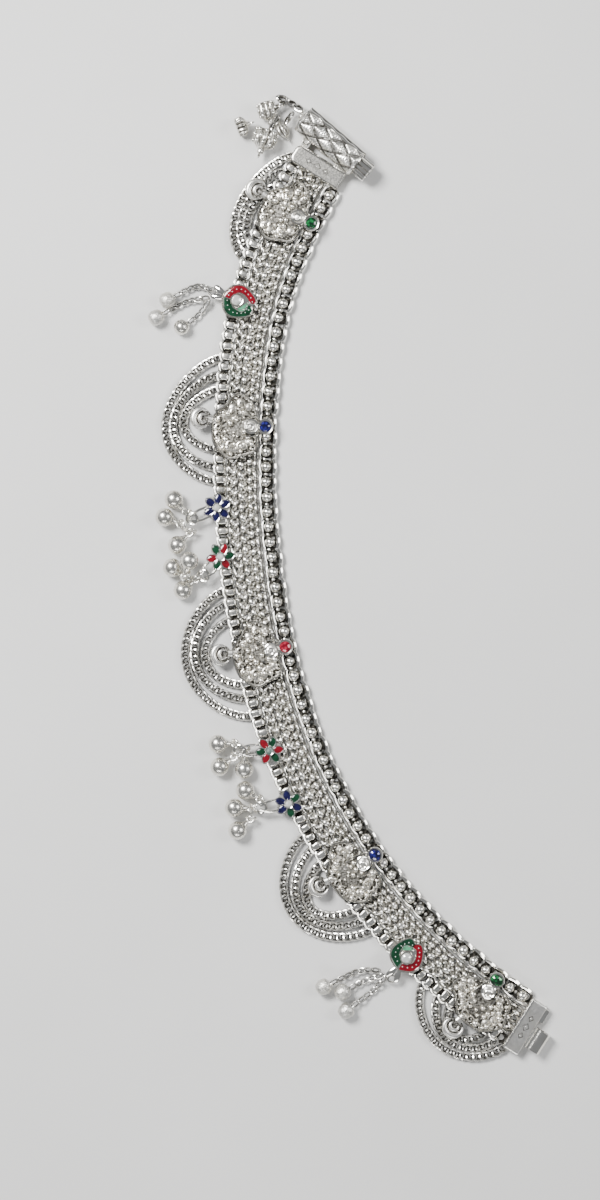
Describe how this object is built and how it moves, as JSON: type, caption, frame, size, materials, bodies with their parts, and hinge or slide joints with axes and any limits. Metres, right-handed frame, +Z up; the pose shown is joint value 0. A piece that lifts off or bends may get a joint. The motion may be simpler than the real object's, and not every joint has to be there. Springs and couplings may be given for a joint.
{
  "type": "payal anklet",
  "caption": "Silver anklet lying open: a flat band of chain mesh with struck medallions, enamel charms, bells and chain swags on one edge, and a barrel clasp and tongue at its ends.",
  "frame": {"origin": "middle of the anklet's box, on the surface that it lies on", "axes": "+Y from the tongue end towards the clasp end, +X towards the side that the band curls round, +Z up from the surface"},
  "size_m": [0.1064, 0.2557, 0.0081],
  "materials": {
    "silver_chain": "cast and rolled silver links, polished on top, dark in the gaps",
    "silver_plate": "die-struck silver, bright raised lines over a satin ground",
    "silver_ball": "spun silver beads and bells, satin polish with light tarnish",
    "enamel": "glossy red, green and blue enamel sunk between silver outlines",
    "green_glass": "faceted deep green glass",
    "blue_glass": "faceted deep blue glass",
    "red_glass": "faceted red glass",
    "clear_glass": "faceted clear glass, foiled behind"
  },
  "bodies": {
    "anklet": {"edge_chain": "silver_chain", "mesh_strand_outer": "silver_chain", "mesh_strand_middle": "silver_chain", "mesh_strand_inner": "silver_chain", "heavy_chain": "silver_chain", "swag_1": "silver_chain", "swag_2": "silver_chain", "swag_3": "silver_chain", "swag_4": "silver_chain", "swag_5": "silver_chain", "drop_1": "silver_chain", "drop_2": "silver_chain", "drop_3": "silver_chain", "drop_4": "silver_chain", "drop_5": "silver_chain", "drop_6": "silver_chain", "bell_chain": "silver_chain", "clasp_socket": "silver_plate", "tongue_end_plate": "silver_plate", "medallion_1": "silver_plate", "medallion_2": "silver_plate", "medallion_3": "silver_plate", "medallion_4": "silver_plate", "medallion_5": "silver_plate", "ball_1": "silver_ball", "ball_2": "silver_ball", "ball_3": "silver_ball", "ball_4": "silver_ball", "ball_5": "silver_ball", "ball_6": "silver_ball", "ball_7": "silver_ball", "ball_8": "silver_ball", "ball_9": "silver_ball", "ball_10": "silver_ball", "ball_11": "silver_ball", "ball_12": "silver_ball", "bell_1": "silver_ball", "bell_2": "silver_ball", "bell_3": "silver_ball", "bell_4": "silver_ball", "heart_1": "enamel", "heart_2": "enamel", "flower_1": "enamel", "flower_2": "enamel", "flower_3": "enamel", "flower_4": "enamel", "collet_stone_1": "green_glass", "collet_stone_2": "blue_glass", "collet_stone_3": "red_glass", "collet_stone_4": "blue_glass", "collet_stone_5": "green_glass", "heart_stone_1": "clear_glass", "heart_stone_2": "clear_glass", "flower_stone_1": "clear_glass", "flower_stone_2": "clear_glass", "flower_stone_3": "clear_glass", "flower_stone_4": "clear_glass"},
    "lock_pin": {"lock_pin": "silver_plate"}
  },
  "joints": [
    {"name": "pin_slide", "type": "slide", "parent": "anklet", "child": "lock_pin", "axis": [0.7592, -0.6508, 0], "range_m": [0, 0.012]}
  ]
}
